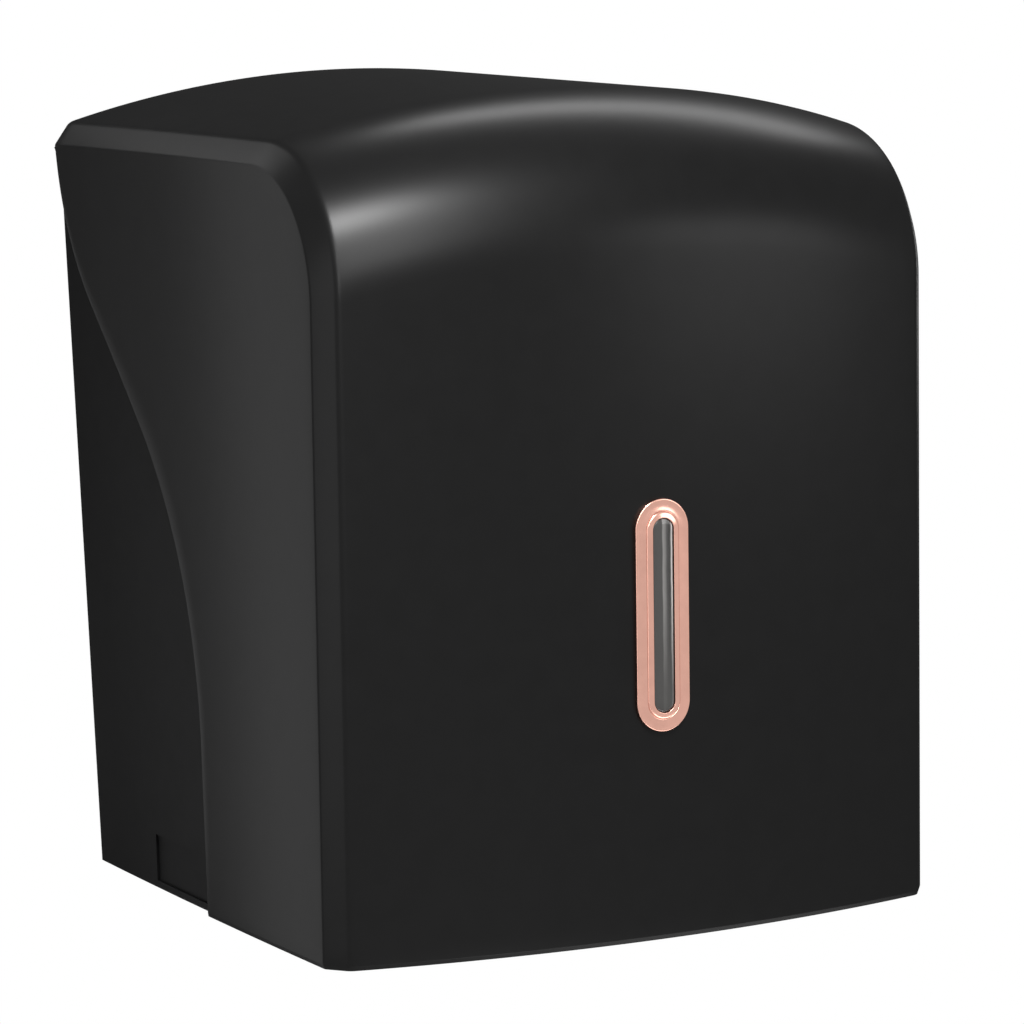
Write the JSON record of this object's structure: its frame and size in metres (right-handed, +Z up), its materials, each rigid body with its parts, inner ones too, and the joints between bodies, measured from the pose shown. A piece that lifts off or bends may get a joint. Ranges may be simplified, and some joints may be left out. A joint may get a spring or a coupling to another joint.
{
  "type": "lever paper towel dispenser",
  "caption": "Wall-mounted roll towel dispenser with a satin black drop-down cover, a slim framed level window and a press lever that feeds paper under the front.",
  "frame": {"origin": "on the wall plane, in the middle of the four wall screw holes", "axes": "+Z up, the front faces -Y, +X to the right as seen from the front"},
  "size_m": [0.3109, 0.2854, 0.3837],
  "materials": {
    "cover_black": "satin moulded",
    "housing_black": "fine texture",
    "rose_gold": "satin plated, pink gold",
    "smoked_lens": "smoked clear plastic",
    "zinc_steel": "zinc plated",
    "bright_steel": "ground",
    "blade_steel": "stamped stainless",
    "spring_steel": "drawn wire",
    "chrome_lock": "polished",
    "nylon_white": "natural nylon",
    "frame_grey": "moulded",
    "arm_grey": "moulded",
    "chute_black": "moulded",
    "lever_black": "satin moulded",
    "grip_rubber": "soft",
    "roller_rubber": "soft grey",
    "gear_nylon": "acetal",
    "core_plastic": "moulded",
    "knob_green": "moulded",
    "hub_plastic": "moulded"
  },
  "bodies": {
    "housing": {"rear_housing": "housing_black", "lock_keeper": "zinc_steel", "keeper_screws": "zinc_steel", "side_frame_left": "frame_grey", "side_frame_right": "frame_grey", "frame_screws": "zinc_steel", "tie_rods": "bright_steel", "tie_screws": "zinc_steel", "paper_chute": "chute_black", "blade_carrier": "chute_black", "tear_blade": "blade_steel", "blade_screws": "zinc_steel", "lever_bushings": "nylon_white", "idler_stud": "bright_steel", "idler_clip": "spring_steel", "feed_bushings": "nylon_white", "carriage_pins": "bright_steel", "arm_brackets": "frame_grey", "bracket_screws": "zinc_steel", "arm_pins": "bright_steel"},
    "cover": {"front_cover": "cover_black", "window_bezel": "rose_gold", "window_lens": "smoked_lens", "bezel_clip": "zinc_steel", "hinge_keys": "nylon_white", "hinge_key_screws": "zinc_steel", "lock_housing": "chrome_lock", "lock_nut": "zinc_steel"},
    "lock": {"lock_plug": "chrome_lock", "lock_cam": "zinc_steel", "cam_screw": "zinc_steel"},
    "lever": {"lever_shaft": "bright_steel", "lever_paddle": "lever_black", "paddle_pad": "grip_rubber", "lever_clip": "spring_steel", "lever_spring": "spring_steel", "sector_gear": "gear_nylon"},
    "idler": {"idler_gear": "gear_nylon"},
    "clutch": {"clutch_gear": "gear_nylon", "oneway_clutch": "bright_steel"},
    "feed_roller": {"feed_axle": "bright_steel", "feed_core": "core_plastic", "feed_sleeves": "grip_rubber", "feed_knob": "knob_green", "axle_clip": "spring_steel"},
    "carriage": {"carriage_frame": "frame_grey", "carriage_springs": "spring_steel"},
    "pressure_roller": {"pressure_axle": "bright_steel", "pressure_rollers": "roller_rubber"},
    "arm_left": {"roll_arm_left": "arm_grey", "arm_spring_left": "spring_steel", "hub_screw_left": "zinc_steel"},
    "arm_right": {"roll_arm_right": "arm_grey", "arm_spring_right": "spring_steel", "hub_screw_right": "zinc_steel"},
    "hub_left": {"roll_hub_left": "hub_plastic"},
    "hub_right": {"roll_hub_right": "hub_plastic"}
  },
  "joints": [
    {"name": "cover_hinge", "type": "hinge", "parent": "housing", "child": "cover", "pos_m": [0, -0.14402, -0.2035], "axis": [1, 0, 0], "range_deg": [0, 95]},
    {"name": "lock_turn", "type": "hinge", "parent": "cover", "child": "lock", "pos_m": [0.13559, -0.04559, 0.0825], "axis": [-1, 0, 0], "range_deg": [0, 90]},
    {"name": "lever_press", "type": "hinge", "parent": "housing", "child": "lever", "pos_m": [0, -0.173, -0.1835], "axis": [1, 0, 0], "range_deg": [0, 32], "stiffness_Nm_per_rad": 0.4, "springref_deg": -20.05, "deforming": ["lever_spring"]},
    {"name": "idler_spin", "type": "hinge", "parent": "housing", "child": "idler", "pos_m": [0.127, -0.16478, -0.12558], "axis": [1, 0, 0], "range_deg": [-146.3, 0]},
    {"name": "clutch_spin", "type": "hinge", "parent": "housing", "child": "clutch", "pos_m": [0.127, -0.211, -0.1535], "axis": [1, 0, 0], "range_deg": [0, 292.58]},
    {"name": "feed_spin", "type": "hinge", "parent": "housing", "child": "feed_roller", "pos_m": [0, -0.211, -0.1535], "axis": [1, 0, 0], "continuous": true},
    {"name": "carriage_swing", "type": "hinge", "parent": "housing", "child": "carriage", "pos_m": [0, -0.237, -0.1155], "axis": [-1, 0, 0], "range_deg": [0, 12], "stiffness_Nm_per_rad": 0.5, "springref_deg": -11.46, "deforming": ["carriage_springs"]},
    {"name": "pressure_spin", "type": "hinge", "parent": "carriage", "child": "pressure_roller", "pos_m": [0, -0.238, -0.1495], "axis": [1, 0, 0], "continuous": true},
    {"name": "arm_left_swing", "type": "hinge", "parent": "housing", "child": "arm_left", "pos_m": [-0.116, -0.015, 0.0145], "axis": [0, 0, -1], "range_deg": [0, 10], "stiffness_Nm_per_rad": 1, "springref_deg": -11.46, "deforming": ["arm_spring_left"]},
    {"name": "arm_right_swing", "type": "hinge", "parent": "housing", "child": "arm_right", "pos_m": [0.116, -0.015, 0.0145], "axis": [0, 0, 1], "range_deg": [0, 10], "stiffness_Nm_per_rad": 1, "springref_deg": -11.46, "deforming": ["arm_spring_right"]},
    {"name": "hub_left_spin", "type": "hinge", "parent": "arm_left", "child": "hub_left", "pos_m": [-0.1, -0.134, 0.0145], "axis": [1, 0, 0], "continuous": true},
    {"name": "hub_right_spin", "type": "hinge", "parent": "arm_right", "child": "hub_right", "pos_m": [0.1, -0.134, 0.0145], "axis": [1, 0, 0], "continuous": true}
  ],
  "couplings": [
    {"joint": "idler_spin", "follows": "lever_press", "ratio": -4.5714},
    {"joint": "clutch_spin", "follows": "lever_press", "ratio": 9.1429},
    {"joint": "pressure_spin", "follows": "feed_spin", "ratio": -1.7}
  ]
}
